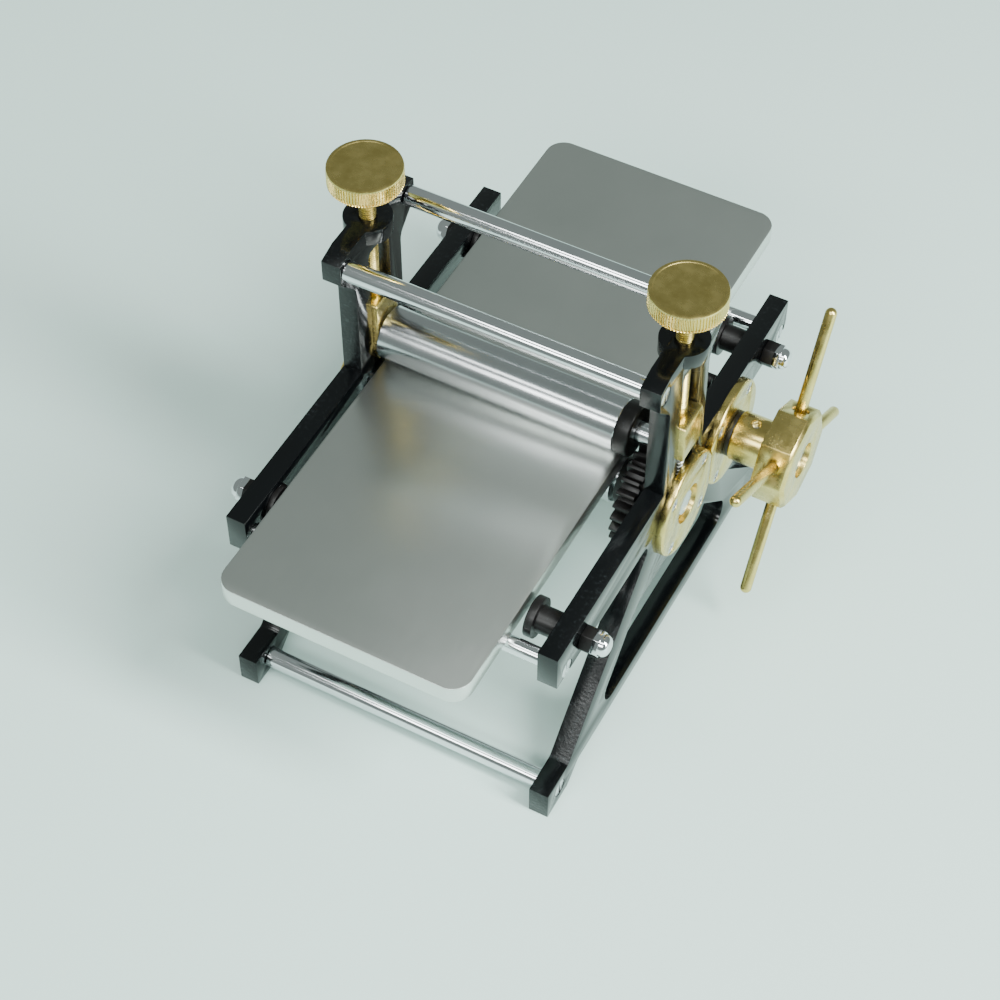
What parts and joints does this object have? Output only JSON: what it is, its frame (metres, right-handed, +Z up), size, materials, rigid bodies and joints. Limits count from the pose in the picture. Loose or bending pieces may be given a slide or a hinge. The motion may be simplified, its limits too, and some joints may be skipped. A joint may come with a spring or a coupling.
{
  "type": "etching press",
  "caption": "Tabletop etching press: side plates joined by tie rods, a flat bed nipped between two rollers, brass pressure screws and a geared spoked handle.",
  "frame": {"origin": "on the floor, under the centre of the machine's overall box at rest", "axes": "+X along the rollers towards the handle side, +Y the way the bed travels to the rear, +Z up"},
  "size_m": [0.1344, 0.199, 0.1407],
  "materials": {
    "black_cast": "semi-gloss black over cast metal",
    "polished_chrome": "polished",
    "black_steel": "blackened, satin",
    "screw_steel": "turned",
    "brass": "turned and brushed",
    "spring_steel": "bright wire",
    "satin_aluminium": "fine satin with faint scratches",
    "ground_steel": "ground and polished"
  },
  "bodies": {
    "frame": {"arm_front_tie_rod": "polished_chrome", "arm_rear_tie_rod": "polished_chrome", "bearing_screws": "screw_steel", "foot_front_tie_rod": "polished_chrome", "foot_rear_tie_rod": "polished_chrome", "front_left_bed_guide": "black_steel", "front_right_bed_guide": "black_steel", "guide_acorn_nuts": "polished_chrome", "guide_hex_nuts": "black_steel", "guide_studs": "screw_steel", "handle_bearing": "brass", "left_roller_bearing": "brass", "left_side_plate": "black_cast", "rear_left_bed_guide": "black_steel", "rear_right_bed_guide": "black_steel", "right_roller_bearing": "brass", "right_side_plate": "black_cast", "tie_rod_screws": "screw_steel", "top_front_tie_rod": "polished_chrome", "top_rear_tie_rod": "polished_chrome"},
    "bed": {"bed": "satin_aluminium"},
    "lower_roller": {"lower_roller": "ground_steel", "drive_gear": "black_steel", "drive_gear_set_screw": "screw_steel"},
    "carriage": {"right_pressure_block": "brass", "left_pressure_block": "brass", "right_lift_spring": "spring_steel", "left_lift_spring": "spring_steel"},
    "upper_roller": {"upper_roller": "ground_steel", "upper_roller_collar": "black_steel"},
    "right_pressure": {"right_pressure_screw": "brass", "right_pressure_knob": "brass"},
    "left_pressure": {"left_pressure_screw": "brass", "left_pressure_knob": "brass"},
    "handle": {"handle_shaft": "ground_steel", "drive_pinion": "black_steel", "pinion_set_screw": "screw_steel", "shaft_collar": "black_steel", "handle_sleeve": "brass", "sleeve_set_screw": "screw_steel", "handle_hub": "brass", "handle_spoke_1": "brass", "handle_spoke_2": "brass", "handle_spoke_3": "brass", "handle_spoke_4": "brass"}
  },
  "joints": [
    {"name": "bed_slide", "type": "slide", "parent": "frame", "child": "bed", "axis": [0, 1, 0], "range_m": [-0.09, 0.082]},
    {"name": "lower_roller_spin", "type": "hinge", "parent": "frame", "child": "lower_roller", "pos_m": [-0.0084, -0.0034, 0.0563], "axis": [1, 0, 0], "range_deg": [-660, 660]},
    {"name": "handle_spin", "type": "hinge", "parent": "frame", "child": "handle", "pos_m": [0.0426, 0.0266, 0.0563], "axis": [1, 0, 0], "range_deg": [-920, 920]},
    {"name": "pressure_lift", "type": "slide", "parent": "frame", "child": "carriage", "axis": [0, 0, 1], "range_m": [0, 0.008], "deforming": ["right_lift_spring", "left_lift_spring"]},
    {"name": "upper_roller_spin", "type": "hinge", "parent": "carriage", "child": "upper_roller", "pos_m": [-0.0084, -0.0034, 0.0785], "axis": [1, 0, 0], "range_deg": [-660, 660]},
    {"name": "right_screw_turn", "type": "hinge", "parent": "carriage", "child": "right_pressure", "pos_m": [0.0396, -0.0034, 0.1], "axis": [0, 0, 1], "range_deg": [0, 3600]},
    {"name": "left_screw_turn", "type": "hinge", "parent": "carriage", "child": "left_pressure", "pos_m": [-0.0564, -0.0034, 0.1], "axis": [0, 0, 1], "range_deg": [0, 3600]}
  ],
  "couplings": [
    {"joint": "lower_roller_spin", "follows": "bed_slide", "rad_per_m": -125},
    {"joint": "upper_roller_spin", "follows": "bed_slide", "rad_per_m": 125},
    {"joint": "handle_spin", "follows": "bed_slide", "rad_per_m": 175},
    {"joint": "right_screw_turn", "follows": "pressure_lift", "rad_per_m": 7853.9},
    {"joint": "left_screw_turn", "follows": "pressure_lift", "rad_per_m": 7853.9}
  ]
}
